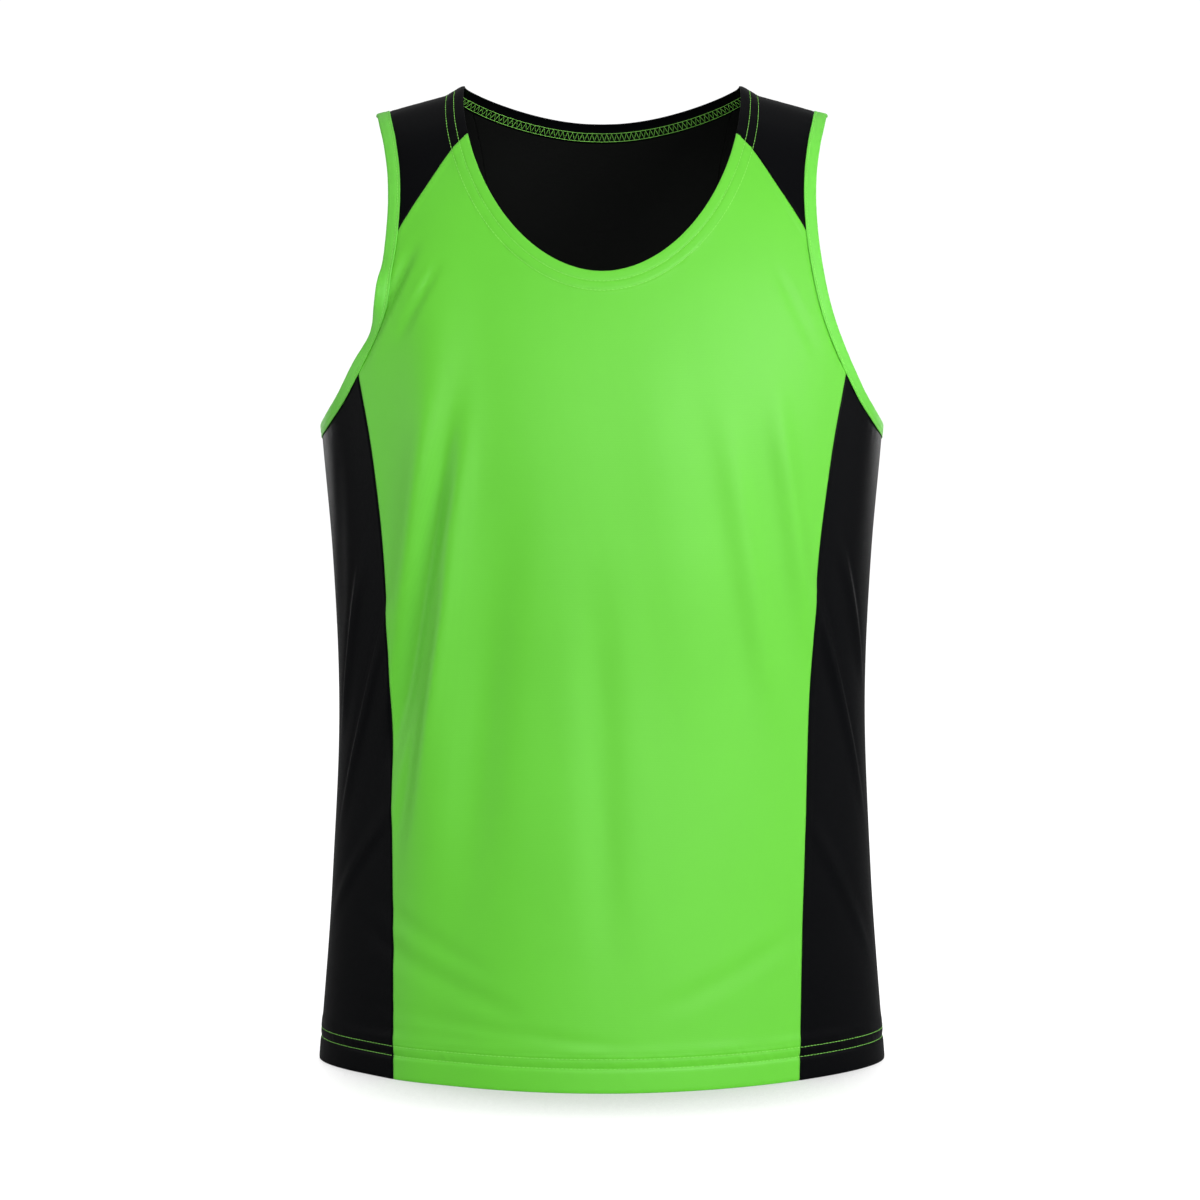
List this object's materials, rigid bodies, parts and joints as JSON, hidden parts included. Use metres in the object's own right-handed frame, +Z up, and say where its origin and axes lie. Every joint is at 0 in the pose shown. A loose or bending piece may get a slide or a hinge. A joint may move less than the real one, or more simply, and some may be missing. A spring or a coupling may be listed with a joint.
{
  "type": "athletic singlet",
  "caption": "Sleeveless knit running top with a scoop neck, contrast side and shoulder panels and narrow bound armholes.",
  "frame": {"origin": "midway between the two shoulder points at the neck edge, where the wearer's shoulders hold the garment up", "axes": "+Z up, front of the garment towards -Y, +X to the right of someone looking at the front"},
  "size_m": [0.4024, 0.24, 0.691],
  "materials": {
    "green_knit": "fine polyester knit, soft sheen",
    "black_knit": "fine polyester knit, soft sheen",
    "green_binding": "smooth folded knit tape"
  },
  "bodies": {
    "root": {"front_panel": "green_knit", "back_panel": "black_knit", "side_panel_right": "black_knit", "side_panel_left": "black_knit", "shoulder_panel_right": "black_knit", "shoulder_panel_left": "black_knit", "armhole_binding_right": "green_binding", "armhole_binding_left": "green_binding"}
  },
  "joints": []
}
